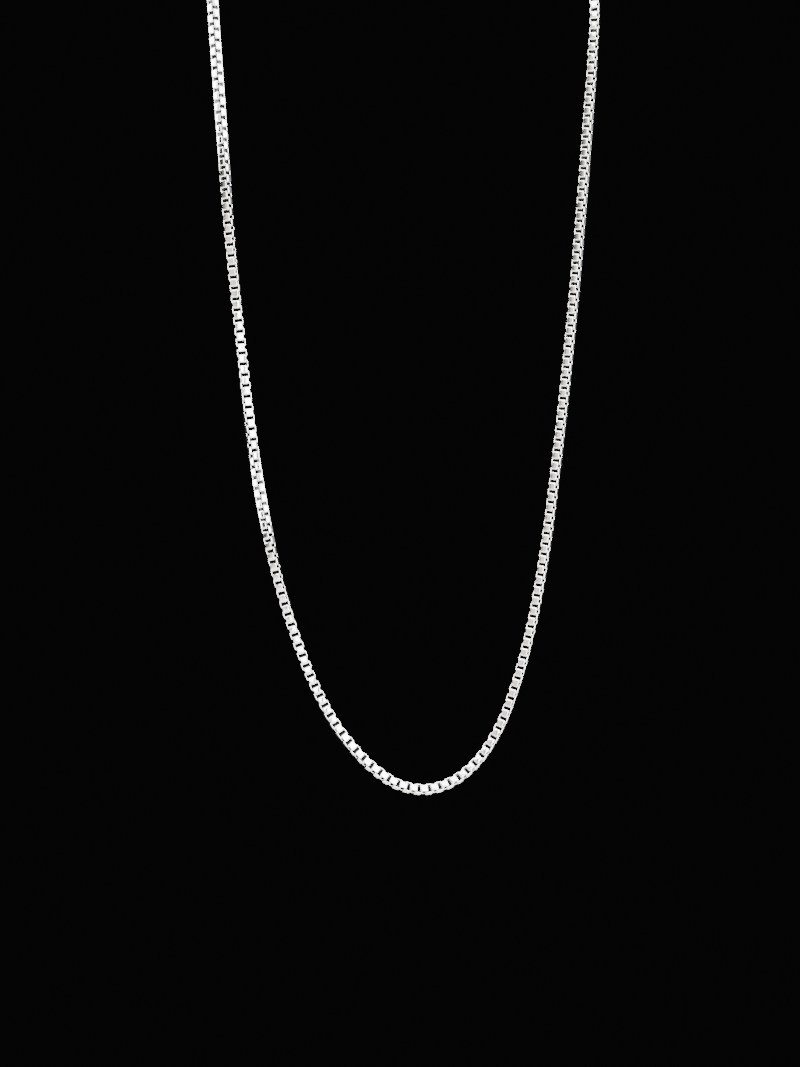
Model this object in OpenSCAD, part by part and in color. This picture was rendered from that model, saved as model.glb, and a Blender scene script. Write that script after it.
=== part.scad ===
// Box chain necklace, 28 inches round, held as it hangs on a neck.
// X runs across the wearer, -Y is the front, +Z is up. The origin is where the chain lies
// on the back of the neck, at the middle of the clasp.
// The links are too many to be solids of their own, so the chain is a tube of eight sides:
// the four flat faces of its square links, and the four corners where turned links step back.

/* [Chain] */
// Width of the chain across two flat faces
chain_w = 2.7; // [2.4:0.1:3]
// Width of the silver strip that each link is bent from
strip_w = 1.8; // [1.5:0.1:2]
// Thickness of the strip
strip_t = 0.34; // [0.3:0.02:0.42]
// Length of the longer link that ends the chain on each side
end_link_l = 3.5; // [3.2:0.1:5]
// Outside radius of a link's bent corners
link_corner_r = 0.7; // [0.55:0.05:1]

/* [Rings] */
// Outside diameter of the ring on each side of the clasp
ring_d = 6; // [5.8:0.1:8]
// Thickness of the rings' round wire
ring_wire = 0.9; // [0.6:0.05:1]

/* [Clasp] */
// Length from the middle of the mouth to the middle of the eye
clasp_l = 8; // [7:0.5:14]
// Thickness of the clasp from the neck outwards
clasp_t = 3; // [2.4:0.1:3.2]
// Width of the open mouth that the end ring lies in
mouth_d = 3.4; // [3:0.1:4.4]
// Wall of the claw round the mouth
claw_wall = 1.5; // [1:0.1:1.6]
// Width of the clasp's body behind the mouth
body_w = 4.6; // [3.6:0.1:5.6]
// Diameter of the eye at the clasp's tail
eye_d = 2; // [1.9:0.1:2.6]
// Wall round the eye
eye_wall = 0.9; // [0.6:0.1:1.4]
// Thickness of the tail round the eye
tail_t = 2.2; // [1.6:0.1:2.4]
// Chamfer across the claw's nose
nose_chamfer = 0.5; // [0.2:0.1:0.8]

/* [Fit] */
// Play where one piece hangs in another
play = 0.15; // [0.1:0.01:0.2]
// Gap between the tube and the link that ends it
tube_gap = 0.14; // [0.12:0.01:0.2]

/* [Hidden] */

// Longest step between two rings of the tube, and the most that it bends from one to the next
ring_step = 13;
ring_bend = 14;
round_fn = 48;
wire_fn = 24;
// How far a cut runs past the faces that it opens
overcut = 1;
// Shares of the clasp's length at which its body is widest and its full thickness ends
widest_share = 0.55;
thick_share = 0.6;

claw_r = mouth_d / 2 + claw_wall;
eye_r = eye_d / 2 + eye_wall;
ring_in_r = ring_d / 2 - ring_wire;
// Everything at the clasp lies in one plane, the clasp's half thickness off the neck
chain_y = clasp_t / 2;

// How far from a ring's centre a bar of this thickness lies, hooked in the ring
function hooked(bar) = sqrt(pow(ring_in_r, 2) - pow(bar / 2, 2)) - play;

ring_x = (mouth_d / 2 + hooked(clasp_t) + clasp_l + eye_d / 2 + hooked(tail_t)) / 2;
mouth_x = -ring_x + hooked(clasp_t) + mouth_d / 2;
end_link_x = ring_x + hooked(strip_w) - strip_t + end_link_l / 2;
tube_end_x = end_link_x + end_link_l / 2 + tube_gap;

// Chosen points of the chain's middle line, from the end ring round to the clasp ring:
// across, forward and up, and how far the faces turn from the front towards the loop's inside
ROUTE = concat([[-tube_end_x, chain_y, 0, -90]], [
    [-19, 1, -0.5, -90],
    [-29.5, -1.5, -2.5, -88],
    [-40, -7, -7, -84],
    [-48.5, -15, -13, -78],
    [-54.6, -25, -20.5, -74],
    [-57, -36.5, -30, -74],
    [-57, -47, -41, -71],
    [-55.7, -53.5, -53.5, -66],
    [-54.9, -55, -69.4, -61],
    [-53.3, -55, -94.5, -54],
    [-51.2, -55, -124.7, -34],
    [-48.8, -55, -150.8, -14],
    [-46.4, -55, -174.9, 9],
    [-42.7, -55, -200, 35],
    [-38.4, -55, -220, 59],
    [-33.4, -55, -236.6, 75],
    [-28.1, -55, -250.1, 82],
    [-20.3, -55, -263.6, 95],
    [-12.6, -55, -272.1, 103],
    [-4.5, -55, -277.6, 109],
    [3.1, -55, -279.2, 114],
    [10.7, -55, -277.4, 118],
    [17.8, -55, -272.4, 120],
    [24.4, -55, -263.7, 120],
    [30.2, -55, -250.4, 123],
    [34.9, -55, -234.4, 128],
    [38.9, -55, -215, 131],
    [42.9, -55, -188.6, 132],
    [47, -55, -156.2, 133],
    [50.9, -55, -119.4, 136],
    [53.8, -55, -87.6, 136],
    [55.3, -55, -70.7, 132],
    [56.6, -53.5, -55, 127],
    [57, -47, -41, 122],
    [57, -36.5, -30, 118],
    [54.6, -25, -20.5, 111],
    [48.5, -15, -13, 104],
    [40, -7, -7, 98],
    [29.5, -1.5, -2.5, 94],
    [19, 1, -0.5, 90]
], [[tube_end_x, chain_y, 0, 90]]);

last = len(ROUTE) - 1;
function place(i) = [ROUTE[i].x, ROUTE[i].y, ROUTE[i].z];
function span(i) = norm(place(i + 1) - place(i));
function rate(i) = (ROUTE[i + 1] - ROUTE[i]) / span(i);
// Slope of the smooth line at a chosen point, from the points on both sides of it
function slope(i) =
    i == 0 ? 2 * rate(0) - slope(1) :
    i == last ? 2 * rate(last - 1) - slope(last - 1) :
    (rate(i) * span(i - 1) + rate(i - 1) * span(i)) / (span(i) + span(i - 1));
// Point, turn included, at share t of the way from one chosen point to the next
function along(i, t) =
    (2 * t * t * t - 3 * t * t + 1) * ROUTE[i] +
    (t * t * t - 2 * t * t + t) * span(i) * slope(i) +
    (3 * t * t - 2 * t * t * t) * ROUTE[i + 1] +
    (t * t * t - t * t) * span(i) * slope(i + 1);
// Direction of the line there
function heading(i, t) =
    let (v = (6 * t * t - 6 * t) * (ROUTE[i] - ROUTE[i + 1]) / span(i) +
             (3 * t * t - 4 * t + 1) * slope(i) + (3 * t * t - 2 * t) * slope(i + 1))
    [v.x, v.y, v.z] / norm([v.x, v.y, v.z]);

// Angle that the line bends through between two chosen points
function bend(i) = acos(min(1, heading(i, 0) * heading(i, 1)));
// Where the tube's rings lie, as a chosen point's number and a share of the way to the next
RINGS = concat(
    [for (i = [0 : last - 1])
        let (n = max(ceil(span(i) / ring_step), ceil(bend(i) / ring_bend)))
        for (k = [0 : n - 1]) [i, k / n]],
    [[last - 1, 1]]);

// Corners of the tube: four flat faces as wide as the strip, and the steps between them
outer = chain_w / 2;
flat = strip_w / 2;
CORNERS = [[outer, flat], [flat, outer], [-flat, outer], [-outer, flat],
           [-outer, -flat], [-flat, -outer], [flat, -outer], [outer, -flat]];

// Corners of one ring, turned with the chain
function ring_points(at) =
    let (p = along(at[0], at[1]), t = heading(at[0], at[1]))
    let (f = [0, -1, 0] - ([0, -1, 0] * t) * t, front = f / norm(f), inward = cross(front, t))
    let (face = cos(p[3]) * front + sin(p[3]) * inward, side = cross(t, face))
    [for (c = CORNERS) [p.x, p.y, p.z] + c[0] * face + c[1] * side];

module tube() {
    rings = len(RINGS);
    sides = len(CORNERS);
    corners = [for (at = RINGS) each ring_points(at)];
    walls = [for (r = [0 : rings - 2]) for (k = [0 : sides - 1])
        let (next = (k + 1) % sides, a = r * sides, b = a + sides)
        each [[a + k, b + next, a + next], [a + k, b + k, b + next]]];
    near_cap = [for (k = [0 : sides - 1]) k];
    far_cap = [for (k = [0 : sides - 1]) rings * sides - 1 - k];
    polyhedron(points = corners, faces = concat([near_cap], walls, [far_cap]));
}

module rounded_outline(l, w, r) {
    square([l - 2 * r, w], center = true);
    square([l, w - 2 * r], center = true);
    for (x = [-1, 1], y = [-1, 1])
        translate([x * (l / 2 - r), y * (w / 2 - r)])
            circle(r = r, $fn = round_fn);
}

// Square ring bent from strip, its hole along Y
module end_link() {
    rotate([90, 0, 0])
        linear_extrude(height = strip_w, center = true)
            difference() {
                rounded_outline(end_link_l, chain_w, link_corner_r);
                rounded_outline(end_link_l - 2 * strip_t, chain_w - 2 * strip_t,
                                link_corner_r - strip_t);
            }
}

// Ring of round wire lying in the plane of X and Y
module wire_ring() {
    rotate_extrude($fn = round_fn)
        translate([ring_in_r + ring_wire / 2, 0])
            circle(d = ring_wire, $fn = wire_fn);
}

module chain() color("silver") {
    tube();
    for (side = [-1, 1])
        translate([side * end_link_x, chain_y, 0])
            end_link();
}

module end_ring() color("silver")
    translate([-ring_x, chain_y, 0])
        wire_ring();

module clasp_ring() color("silver")
    translate([ring_x, chain_y, 0])
        wire_ring();

// Outline of the clasp as seen from behind the neck: claw, body and eye
module clasp_outline() {
    circle(r = claw_r, $fn = round_fn);
    translate([clasp_l, 0])
        circle(r = eye_r, $fn = round_fn);
    polygon([[0, -claw_r], [clasp_l * widest_share, -body_w / 2], [clasp_l, -eye_r],
             [clasp_l, eye_r], [clasp_l * widest_share, body_w / 2], [0, claw_r]]);
}

// The clasp as seen from above: full thickness at the claw, thin at the tail
module clasp_side() {
    half = [[-claw_r, clasp_t / 2 - nose_chamfer], [-claw_r + nose_chamfer, clasp_t / 2],
            [clasp_l * thick_share, clasp_t / 2], [clasp_l - eye_d / 2, tail_t / 2],
            [clasp_l + eye_r, tail_t / 2]];
    polygon(concat(half, [for (i = [len(half) - 1 : -1 : 0]) [half[i].x, -half[i].y]]));
}

module through_hole(x, d) {
    translate([x, 0, 0])
        rotate([90, 0, 0])
            cylinder(d = d, h = clasp_t + overcut, center = true, $fn = round_fn);
}

module clasp() color("silver")
    translate([mouth_x, chain_y, 0])
        difference() {
            intersection() {
                rotate([90, 0, 0])
                    linear_extrude(height = clasp_t + overcut, center = true)
                        clasp_outline();
                linear_extrude(height = 2 * claw_r + overcut, center = true)
                    clasp_side();
            }
            through_hole(0, mouth_d);
            through_hole(clasp_l, eye_d);
        }

chain();
end_ring();
clasp();
clasp_ring();
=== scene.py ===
# A silver box chain necklace, hanging as it is worn, on a dark backdrop above a pale floor.
# Lengths are named in millimetres and turned into metres where they meet Blender.
import math
import random

import bmesh
import bpy
from mathutils import Euler, Matrix, Vector


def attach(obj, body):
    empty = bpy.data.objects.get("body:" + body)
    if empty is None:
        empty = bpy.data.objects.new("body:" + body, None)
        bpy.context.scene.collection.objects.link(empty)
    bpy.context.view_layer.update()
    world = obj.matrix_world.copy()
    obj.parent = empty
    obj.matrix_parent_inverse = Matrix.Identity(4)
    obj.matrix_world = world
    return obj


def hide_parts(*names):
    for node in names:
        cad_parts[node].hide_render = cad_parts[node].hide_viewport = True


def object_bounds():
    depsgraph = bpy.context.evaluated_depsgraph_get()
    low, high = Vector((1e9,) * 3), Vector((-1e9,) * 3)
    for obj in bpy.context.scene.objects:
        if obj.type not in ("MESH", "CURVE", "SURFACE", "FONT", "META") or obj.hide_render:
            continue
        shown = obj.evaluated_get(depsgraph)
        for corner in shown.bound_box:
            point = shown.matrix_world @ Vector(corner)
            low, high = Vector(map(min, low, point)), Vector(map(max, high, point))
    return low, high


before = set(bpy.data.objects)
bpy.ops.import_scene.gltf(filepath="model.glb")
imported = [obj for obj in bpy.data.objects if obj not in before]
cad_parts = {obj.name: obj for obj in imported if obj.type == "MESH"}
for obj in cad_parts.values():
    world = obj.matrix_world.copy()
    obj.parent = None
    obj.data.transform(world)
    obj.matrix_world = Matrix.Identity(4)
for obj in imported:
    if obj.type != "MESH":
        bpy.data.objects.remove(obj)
cad_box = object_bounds()

MM = 0.001

# Camera and composition
IMAGE_HIGH = 1067
FOCAL_PIXELS = 2600
SENSOR = 36
LOOKED_AT = Vector((-3.5, -55, -207)) * MM
CAMERA_AWAY = 731 * MM
CAMERA_LEFT = math.radians(15)
CAMERA_ROLL = math.radians(0.6)


def place_camera():
    data = bpy.data.cameras.new("camera")
    data.sensor_width = SENSOR
    data.lens = FOCAL_PIXELS * SENSOR / IMAGE_HIGH
    data.clip_start = 0.01
    camera = bpy.data.objects.new("camera", data)
    away = Vector((-math.sin(CAMERA_LEFT), -math.cos(CAMERA_LEFT), 0))
    camera.location = LOOKED_AT + away * CAMERA_AWAY
    camera.rotation_euler = Euler((math.pi / 2, CAMERA_ROLL, -CAMERA_LEFT))
    bpy.context.collection.objects.link(camera)
    bpy.context.scene.camera = camera


# Floor, backdrop and lights
FLOOR_BELOW = 168 * MM
FLOOR_WIDE = 1.5
FLOOR_DEEP = 1.2
FLOOR_MIDDLE_Y = -0.30
BACKDROP_GREY = 0.003
FLOOR_COLOUR = (0.5, 0.495, 0.485, 1)
FLOOR_ROUGHNESS = 0.8


def lay_floor():
    bm = bmesh.new()
    bmesh.ops.create_grid(bm, x_segments=1, y_segments=1, size=0.5)
    bmesh.ops.scale(bm, vec=(FLOOR_WIDE, FLOOR_DEEP, 1), verts=bm.verts)
    bmesh.ops.translate(bm, vec=(0, FLOOR_MIDDLE_Y, cad_box[0].z - FLOOR_BELOW), verts=bm.verts)
    floor = new_object("floor", bm)
    floor.data.materials.append(pale_floor())


def pale_floor():
    material = bpy.data.materials.new("pale_floor")
    material.use_nodes = True
    shader = material.node_tree.nodes["Principled BSDF"]
    shader.inputs["Base Color"].default_value = FLOOR_COLOUR
    shader.inputs["Roughness"].default_value = FLOOR_ROUGHNESS
    return material


# Each soft light: name, where it stands round the loop's middle, size, power and tint
SOFT_LIGHTS = (
    ("front_softbox", (-0.28, -1.24, 0.05), (0.5, 1.2), 27, (1, 1, 1)),
    ("front_left_softbox", (-0.96, -0.83, 0.05), (0.83, 1.2), 5.2, (1, 0.90, 0.84)),
    ("left_card", (-1.21, -0.37, 0.05), (0.25, 1.2), 0.33, (1, 0.97, 0.95)),
    ("left_softbox", (-1.16, 0.44, 0.20), (0.74, 1.8), 61, (1, 1, 1)),
    ("front_right_softbox", (0.55, -1.10, 0.05), (0.9, 1.2), 48, (1, 1, 1)),
    ("right_softbox", (1.23, -0.33, 0.20), (0.8, 1.8), 66, (1, 1, 1)),
    ("back_right_card", (1.23, 0.31, 0.05), (0.31, 1.2), 0.58, (0.85, 0.88, 1)),
    ("back_card", (0.26, 1.24, 0.05), (0.92, 1.2), 0.35, (1, 1, 1)),
    ("front_top_softbox", (-0.15, -0.69, 0.98), (2.2, 1.0), 80, (1, 1, 1)),
    ("top_softbox", (0.00, 0.15, 1.20), (1.6, 0.8), 45, (1, 1, 1)),
)


def hang_lights():
    middle = (cad_box[0] + cad_box[1]) / 2
    for name, offset, size, power, tint in SOFT_LIGHTS:
        data = bpy.data.lights.new(name, "AREA")
        data.shape = "RECTANGLE"
        data.size, data.size_y = size
        data.energy = power
        data.color = tint
        light = bpy.data.objects.new(name, data)
        light.location = middle + Vector(offset)
        light.rotation_euler = (-Vector(offset)).to_track_quat("-Z", "Y").to_euler()
        light.visible_camera = False
        bpy.context.collection.objects.link(light)


def darken_backdrop():
    world = bpy.data.worlds.new("dark_backdrop")
    world.use_nodes = True
    grey = (BACKDROP_GREY, BACKDROP_GREY, BACKDROP_GREY, 1)
    world.node_tree.nodes["Background"].inputs["Color"].default_value = grey
    bpy.context.scene.world = world


def new_object(name, bm):
    mesh = bpy.data.meshes.new(name)
    bm.to_mesh(mesh)
    bm.free()
    made = bpy.data.objects.new(name, mesh)
    bpy.context.collection.objects.link(made)
    return made


# Chain: square links bent from strip, each turned a quarter from its neighbours
CHAIN_ACROSS = 2.7
STRIP_WIDE = 1.78
STRIP_THICK = 0.34
LINK_CORNER = 0.45
CORNER_STEPS = 2
RIM_CROWN = 0.12
LINK_PLAY = 0.08
LINKS = 455
FIRST_LINK_IN = 0.14
END_LINK_LONG = 3.5
END_LINK_FROM_MIDDLE = 9.986
CHAIN_Y = 1.5
TUBE_END = 11.876
LINK_TILT = 0.4
TONE_SEED = 28
PLATES_WEIGHT = 100

# How much painted shade the inside faces get, as they lie hidden: the long plates, and the ends and
# corners
PLATE_PAINTED_SHADE = 0.92
CORNER_PAINTED_SHADE = 1.0
# A face points inwards, lies off the rim, or is a plate, past these shares of its normal
INWARD = -0.3
OFF_RIM = 0.3
ALONG_PLATE = 0.95

# Chosen points of the chain's middle line, as in the part's source: across, forward and up,
# and how far the faces turn from the front towards the loop's inside
ROUTE = (
    (-TUBE_END, CHAIN_Y, 0, -90),
    (-19, 1, -0.5, -90),
    (-29.5, -1.5, -2.5, -88),
    (-40, -7, -7, -84),
    (-48.5, -15, -13, -78),
    (-54.6, -25, -20.5, -74),
    (-57, -36.5, -30, -74),
    (-57, -47, -41, -71),
    (-55.7, -53.5, -53.5, -66),
    (-54.9, -55, -69.4, -61),
    (-53.3, -55, -94.5, -54),
    (-51.2, -55, -124.7, -34),
    (-48.8, -55, -150.8, -14),
    (-46.4, -55, -174.9, 9),
    (-42.7, -55, -200, 35),
    (-38.4, -55, -220, 59),
    (-33.4, -55, -236.6, 75),
    (-28.1, -55, -250.1, 82),
    (-20.3, -55, -263.6, 95),
    (-12.6, -55, -272.1, 103),
    (-4.5, -55, -277.6, 109),
    (3.1, -55, -279.2, 114),
    (10.7, -55, -277.4, 118),
    (17.8, -55, -272.4, 120),
    (24.4, -55, -263.7, 120),
    (30.2, -55, -250.4, 123),
    (34.9, -55, -234.4, 128),
    (38.9, -55, -215, 131),
    (42.9, -55, -188.6, 132),
    (47, -55, -156.2, 133),
    (50.9, -55, -119.4, 136),
    (53.8, -55, -87.6, 136),
    (55.3, -55, -70.7, 132),
    (56.6, -53.5, -55, 127),
    (57, -47, -41, 122),
    (57, -36.5, -30, 118),
    (54.6, -25, -20.5, 111),
    (48.5, -15, -13, 104),
    (40, -7, -7, 98),
    (29.5, -1.5, -2.5, 94),
    (19, 1, -0.5, 90),
    (TUBE_END, CHAIN_Y, 0, 90),
)
STEPS_A_SPAN = 60

# How far the links slide along the line, as their play allows: where, and by how much
LINK_SLIDES = (
    (0, 0),
    (122, -0.55),
    (150, -0.5),
    (165, -0.4),
    (177, -0.4),
    (218, -0.88),
    (246, -1.2),
    (260, -1.6),
    (274, -1.76),
    (301, -1.73),
    (316, -1.48),
    (330, -1),
    (345, -0.48),
    (360, -0.16),
    (388, 0.12),
    (417, -0.03),
    (445, -0.45),
    (474, -0.93),
    (503, -1.36),
    (532, -1.53),
    (560, -1.58),
    (691, 0),
)


def smooth_line():
    """Points close together on the smooth line through the route, each with its turn."""
    rows = [Vector(row) for row in ROUTE]
    spans = [(b.xyz - a.xyz).length for a, b in zip(rows, rows[1:])]
    rates = [(b - a) / span for a, b, span in zip(rows, rows[1:], spans)]
    slopes = [None]
    for before, after, came, goes in zip(rates, rates[1:], spans, spans[1:]):
        slopes.append((after * came + before * goes) / (came + goes))
    slopes[0] = 2 * rates[0] - slopes[1]
    slopes.append(2 * rates[-1] - slopes[-1])
    line = []
    for i, span in enumerate(spans):
        for step in range(STEPS_A_SPAN):
            t = step / STEPS_A_SPAN
            line.append(
                (2 * t**3 - 3 * t**2 + 1) * rows[i]
                + (t**3 - 2 * t**2 + t) * span * slopes[i]
                + (3 * t**2 - 2 * t**3) * rows[i + 1]
                + (t**3 - t**2) * span * slopes[i + 1]
            )
    return line + [rows[-1]]


class Walk:
    """Finds the place, heading and turn at any length along the chain's line."""

    def __init__(self):
        self.line = smooth_line()
        self.reach = [0.0]
        for a, b in zip(self.line, self.line[1:]):
            self.reach.append(self.reach[-1] + (b.xyz - a.xyz).length)
        self.length = self.reach[-1]
        self.at = 0

    def place(self, far):
        """Rows of far come in rising order, so the search goes on from the last one."""
        while self.at < len(self.line) - 2 and self.reach[self.at + 1] < far:
            self.at += 1
        a, b = self.line[self.at], self.line[self.at + 1]
        share = (far - self.reach[self.at]) / (self.reach[self.at + 1] - self.reach[self.at])
        return a.lerp(b, share), (b.xyz - a.xyz).normalized()


def slide_at(far):
    for (start, slide), (stop, next_slide) in zip(LINK_SLIDES, LINK_SLIDES[1:]):
        if far <= stop:
            return slide + (next_slide - slide) * (far - start) / (stop - start)
    return 0


def link_form(length):
    """One link lying with its hole upwards: across X, along Y, strip width along Z."""
    bm = bmesh.new()
    bmesh.ops.create_cube(bm, size=1)
    flat_wide = STRIP_WIDE - 2 * RIM_CROWN
    bmesh.ops.scale(bm, vec=(CHAIN_ACROSS, length, flat_wide), verts=bm.verts)
    open_ends = [face for face in bm.faces if abs(face.normal.z) > 0.5]
    bmesh.ops.delete(bm, geom=open_ends, context="FACES_ONLY")
    upright = [edge for edge in bm.edges if stands(edge)]
    bmesh.ops.bevel(bm, geom=upright, offset=LINK_CORNER, segments=CORNER_STEPS, profile=0.5,
                    affect="EDGES", material=-1)
    bmesh.ops.recalc_face_normals(bm, faces=bm.faces)
    bmesh.ops.solidify(bm, geom=bm.faces[:], thickness=STRIP_THICK)
    across_rim = [edge for edge in bm.edges if not stands(edge) and crosses_rim(edge)]
    cut = bmesh.ops.subdivide_edges(bm, edges=across_rim, cuts=1)
    for vert in cut["geom_inner"]:
        if isinstance(vert, bmesh.types.BMVert):
            vert.co.z += math.copysign(RIM_CROWN, vert.co.z)
    mark_strip(bm)
    return bm


def stands(edge):
    return abs(edge.verts[0].co.z - edge.verts[1].co.z) > STRIP_WIDE / 4


def crosses_rim(edge):
    """True where a level edge joins two rim faces."""
    return all(abs(face.normal.z) > 0.5 for face in edge.link_faces)


def mark_strip(bm):
    """A map that runs along and across the strip, and a mark for the painted shade on the faces
    inside the link.
    """
    strip_map = bm.loops.layers.uv.new("along_strip")
    inside = bm.faces.layers.float.new("inside")
    bm.normal_update()
    for face in bm.faces:
        face.smooth = True
        middle = face.calc_center_median()
        bearing = math.atan2(middle.y, middle.x)
        outward = face.normal.xy.dot(middle.xy.normalized())
        # Faces inside the link get a share of painted shade: the silver is painted nearly black there
        if outward < INWARD and abs(face.normal.z) < OFF_RIM:
            face[inside] = PLATE_PAINTED_SHADE if abs(face.normal.x) > ALONG_PLATE else CORNER_PAINTED_SHADE
        for loop in face.loops:
            corner = loop.vert.co
            swing = math.atan2(corner.y, corner.x) - bearing
            swing = (swing + math.pi) % (2 * math.pi) - math.pi
            loop[strip_map].uv = ((bearing + swing) * CHAIN_ACROSS / 2, corner.z + corner.xy.length)


class LinkStringer:
    """Copies a link's form into one joined mesh, each copy with a tone of its own."""

    def __init__(self):
        self.joined = bmesh.new()
        self.carrier = bpy.data.meshes.new("link_carrier")
        self.chance = random.Random(TONE_SEED)

    def hang(self, form, middle, across, heading):
        link = form.copy()
        upright = across.cross(heading)
        turned = Matrix((across, heading, upright)).transposed().to_4x4()
        tilt = Euler([math.radians(self.chance.gauss(0, LINK_TILT / 2)) for _ in range(3)])
        placed = Matrix.Scale(MM, 4) @ Matrix.Translation(middle) @ turned @ tilt.to_matrix().to_4x4()
        bmesh.ops.transform(link, matrix=placed, verts=link.verts)
        tone_layer = link.faces.layers.float.new("link_tone")
        tone = self.chance.random()
        for face in link.faces:
            face[tone_layer] = tone
        link.to_mesh(self.carrier)
        link.free()
        self.joined.from_mesh(self.carrier)

    def finished(self, name):
        made = new_object(name, self.joined)
        bpy.data.meshes.remove(self.carrier)
        flat_plates = made.modifiers.new("flat_plates", "WEIGHTED_NORMAL")
        flat_plates.weight = PLATES_WEIGHT
        flat_plates.keep_sharp = True
        return made


def string_chain():
    walk = Walk()
    pitch = (walk.length - 2 * FIRST_LINK_IN) / (LINKS - 1)
    stringer = LinkStringer()
    small = link_form(pitch + 2 * STRIP_THICK + LINK_PLAY)
    for count in range(LINKS):
        far = FIRST_LINK_IN + count * pitch
        row, heading = walk.place(far + slide_at(far))
        front = Vector((0, -1, 0))
        front = (front - heading * front.dot(heading)).normalized()
        inward = front.cross(heading)
        turn = math.radians(row.w)
        face = math.cos(turn) * front + math.sin(turn) * inward
        side = heading.cross(face)
        across = side if count % 2 == 0 else face
        stringer.hang(small, row.xyz, across, heading)
    large = link_form(END_LINK_LONG)
    for end in (-1, 1):
        middle = Vector((end * END_LINK_FROM_MIDDLE, CHAIN_Y, 0))
        stringer.hang(large, middle, Vector((0, 0, 1)), Vector((end, 0, 0)))
    return stringer.finished("box_chain_links")


# Rings of round wire that join the chain to the clasp
RING_FROM_MIDDLE = 6.829
RING_RADIUS = 2.55
RING_WIRE = 0.9
RING_STEPS = 56
WIRE_SIDES = 16


def wire_ring(name, middle_x):
    bm = bmesh.new()
    bmesh.ops.create_circle(bm, segments=WIRE_SIDES, radius=RING_WIRE / 2)
    bmesh.ops.rotate(bm, cent=(0, 0, 0), matrix=Matrix.Rotation(math.pi / 2, 3, "X"), verts=bm.verts)
    bmesh.ops.translate(bm, vec=(RING_RADIUS, 0, 0), verts=bm.verts)
    bmesh.ops.spin(bm, geom=bm.verts[:] + bm.edges[:], cent=(0, 0, 0), axis=(0, 0, 1), dvec=(0, 0, 0),
                   angle=2 * math.pi, steps=RING_STEPS, use_merge=True, use_duplicate=False)
    bmesh.ops.recalc_face_normals(bm, faces=bm.faces)
    for face in bm.faces:
        face.smooth = True
    bmesh.ops.translate(bm, vec=(middle_x, CHAIN_Y, 0), verts=bm.verts)
    bmesh.ops.scale(bm, vec=(MM, MM, MM), verts=bm.verts)
    return new_object(name, bm)


# Clasp, with its edges softened as by tumbling
CLASP_SOFTENING = 0.22
CLASP_SOFT_STEPS = 3
CLASP_EDGE_ANGLE = math.radians(25)
CLASP_MERGE = 0.004
CLASP_FLAT_ANGLE = math.radians(1)


def soften_clasp():
    bm = bmesh.new()
    bm.from_mesh(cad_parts["clasp"].data)
    bmesh.ops.scale(bm, vec=(1 / MM, 1 / MM, 1 / MM), verts=bm.verts)
    bmesh.ops.remove_doubles(bm, verts=bm.verts, dist=CLASP_MERGE)
    bmesh.ops.dissolve_limit(bm, angle_limit=CLASP_FLAT_ANGLE, verts=bm.verts, edges=bm.edges)
    sharp = [edge for edge in bm.edges if edge.calc_face_angle(0) > CLASP_EDGE_ANGLE]
    bmesh.ops.bevel(bm, geom=sharp, offset=CLASP_SOFTENING, segments=CLASP_SOFT_STEPS, profile=0.5,
                    affect="EDGES", material=-1, clamp_overlap=True)
    for face in bm.faces:
        face.smooth = True
    bmesh.ops.scale(bm, vec=(MM, MM, MM), verts=bm.verts)
    return new_object("clasp_body", bm)


# Silver: bright outside, and painted nearly black as shade on the faces inside the links, though a
# real link is silver inside too; the same dark colour also gives the faint random tone and wear
BRIGHT_SILVER = (0.95, 0.945, 0.93, 1)
WEAR_AND_PAINTED_SHADE_SILVER = (0.002, 0.002, 0.002, 1)
CLOUD_LOW = 0.35
CLOUD_HIGH = 0.75
CLOUD_DEPTH = 0.08
TONE_DEPTH = 0.06
CLOUDS_A_METRE = (900, 900, 900)
HAIRLINE_HEIGHT = 0.02 * MM


def new_group(name, ins, outs):
    group = bpy.data.node_groups.new(name, "ShaderNodeTree")
    for label, kind in ins:
        group.interface.new_socket(label, in_out="INPUT", socket_type="NodeSocket" + kind)
    for label, kind in outs:
        group.interface.new_socket(label, in_out="OUTPUT", socket_type="NodeSocket" + kind)
    return group, group.nodes.new("NodeGroupInput"), group.nodes.new("NodeGroupOutput")


def hairlines_group():
    """Fine drawn lines along a strip or wire: the height that they stand out."""
    group, given, result = new_group(
        "fine_hairlines",
        (("Vector", "Vector"), ("Shift", "Float")),
        (("Height", "Float"),),
    )
    nodes, links = group.nodes, group.links
    lines = nodes.new("ShaderNodeTexNoise")
    lines.noise_dimensions = "4D"
    lines.inputs["Scale"].default_value = 1
    lines.inputs["Detail"].default_value = 3
    links.new(given.outputs["Vector"], lines.inputs["Vector"])
    links.new(given.outputs["Shift"], lines.inputs["W"])
    links.new(lines.outputs["Fac"], result.inputs["Height"])
    return group


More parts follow.
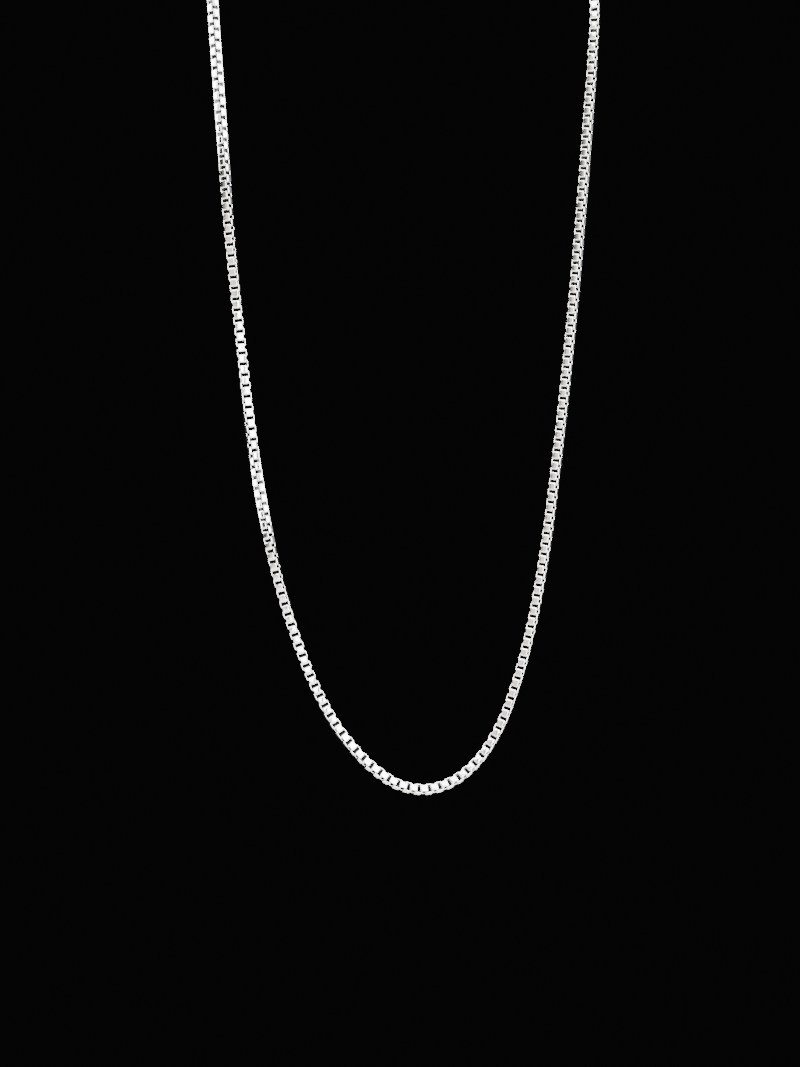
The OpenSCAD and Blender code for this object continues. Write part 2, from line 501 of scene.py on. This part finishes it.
def silver_group():
    """Silver's colour and roughness from its tone, its wear, and the painted shade where it lies
    hidden inside a link.
    """
    group, given, result = new_group(
        "silver_wear_and_painted_shade",
        (("Vector", "Vector"), ("Tone", "Float"), ("Hidden", "Float"),
         ("Bright", "Color"), ("Wear_and_shade_colour", "Color"), ("Smooth", "Float"), ("Rough", "Float")),
        (("Color", "Color"), ("Roughness", "Float")),
    )
    nodes, links = group.nodes, group.links
    clouds = nodes.new("ShaderNodeTexNoise")
    clouds.inputs["Scale"].default_value = 1
    clouds.inputs["Detail"].default_value = 4
    links.new(given.outputs["Vector"], clouds.inputs["Vector"])
    spread = nodes.new("ShaderNodeMapRange")
    spread.inputs["From Min"].default_value = CLOUD_LOW
    spread.inputs["From Max"].default_value = CLOUD_HIGH
    spread.inputs["To Max"].default_value = CLOUD_DEPTH
    links.new(clouds.outputs["Fac"], spread.inputs["Value"])
    toned = nodes.new("ShaderNodeMath")
    toned.operation = "MULTIPLY_ADD"
    toned.inputs[1].default_value = TONE_DEPTH
    links.new(given.outputs["Tone"], toned.inputs[0])
    links.new(spread.outputs["Result"], toned.inputs[2])
    hidden = nodes.new("ShaderNodeMath")
    hidden.operation = "MULTIPLY_ADD"
    hidden.use_clamp = True
    hidden.inputs[1].default_value = 1
    links.new(given.outputs["Hidden"], hidden.inputs[0])
    links.new(toned.outputs["Value"], hidden.inputs[2])
    colour = nodes.new("ShaderNodeMix")
    colour.data_type = "RGBA"
    links.new(hidden.outputs["Value"], colour.inputs["Factor"])
    links.new(given.outputs["Bright"], colour.inputs[6])
    links.new(given.outputs["Wear_and_shade_colour"], colour.inputs[7])
    links.new(colour.outputs[2], result.inputs["Color"])
    rough = nodes.new("ShaderNodeMix")
    links.new(hidden.outputs["Value"], rough.inputs["Factor"])
    links.new(given.outputs["Smooth"], rough.inputs["A"])
    links.new(given.outputs["Rough"], rough.inputs["B"])
    links.new(rough.outputs["Result"], result.inputs["Roughness"])
    return group


def silver_material(name, groups, pattern, stretch, smooth, rough, relief):
    """pattern names the strip's map, or is empty for a pattern in the object's own space."""
    material = bpy.data.materials.new(name)
    material.use_nodes = True
    nodes, links = material.node_tree.nodes, material.node_tree.links
    shader = nodes["Principled BSDF"]
    shader.inputs["Metallic"].default_value = 1
    if pattern:
        space = nodes.new("ShaderNodeUVMap")
        space.uv_map = pattern
        grid = space.outputs["UV"]
    else:
        space = nodes.new("ShaderNodeTexCoord")
        grid = space.outputs["Object"]
    laid = nodes.new("ShaderNodeMapping")
    laid.inputs["Scale"].default_value = stretch
    links.new(grid, laid.inputs["Vector"])
    lines = nodes.new("ShaderNodeGroup")
    lines.node_tree = groups["hairlines"]
    links.new(laid.outputs["Vector"], lines.inputs["Vector"])
    bump = nodes.new("ShaderNodeBump")
    bump.inputs["Strength"].default_value = relief
    bump.inputs["Distance"].default_value = HAIRLINE_HEIGHT
    links.new(lines.outputs["Height"], bump.inputs["Height"])
    links.new(bump.outputs["Normal"], shader.inputs["Normal"])
    finish = nodes.new("ShaderNodeGroup")
    finish.node_tree = groups["silver"]
    place = nodes.new("ShaderNodeTexCoord")
    spread = nodes.new("ShaderNodeMapping")
    spread.inputs["Scale"].default_value = CLOUDS_A_METRE
    links.new(place.outputs["Object"], spread.inputs["Vector"])
    links.new(spread.outputs["Vector"], finish.inputs["Vector"])
    finish.inputs["Bright"].default_value = BRIGHT_SILVER
    finish.inputs["Wear_and_shade_colour"].default_value = WEAR_AND_PAINTED_SHADE_SILVER
    finish.inputs["Smooth"].default_value = smooth
    finish.inputs["Rough"].default_value = rough
    if pattern:
        tone = nodes.new("ShaderNodeAttribute")
        tone.attribute_name = "link_tone"
        links.new(tone.outputs["Fac"], finish.inputs["Tone"])
        links.new(tone.outputs["Fac"], lines.inputs["Shift"])
        # The inside mark paints those faces nearly black, as shade
        hidden = nodes.new("ShaderNodeAttribute")
        hidden.attribute_name = "inside"
        links.new(hidden.outputs["Fac"], finish.inputs["Hidden"])
    links.new(finish.outputs["Color"], shader.inputs["Base Color"])
    links.new(finish.outputs["Roughness"], shader.inputs["Roughness"])
    return material


def put_on(piece, node, material):
    piece.data.materials.clear()
    piece.data.materials.append(material)
    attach(piece, "root")
    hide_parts(node)


place_camera()
lay_floor()
hang_lights()
darken_backdrop()

groups = {"hairlines": hairlines_group(), "silver": silver_group()}
strip_silver = silver_material("strip_silver", groups, "along_strip", (0.8, 16, 1), 0.1, 0.3, 0.15)
wire_silver = silver_material("wire_silver", groups, "", (2500, 2500, 2500), 0.16, 0.4, 0.25)
cast_silver = silver_material("cast_silver", groups, "", (700, 6000, 6000), 0.18, 0.4, 0.35)

put_on(string_chain(), "chain", strip_silver)
put_on(wire_ring("wire_ring_clasp", RING_FROM_MIDDLE), "clasp_ring", wire_silver)
put_on(wire_ring("wire_ring_end", -RING_FROM_MIDDLE), "end_ring", wire_silver)
put_on(soften_clasp(), "clasp", cast_silver)
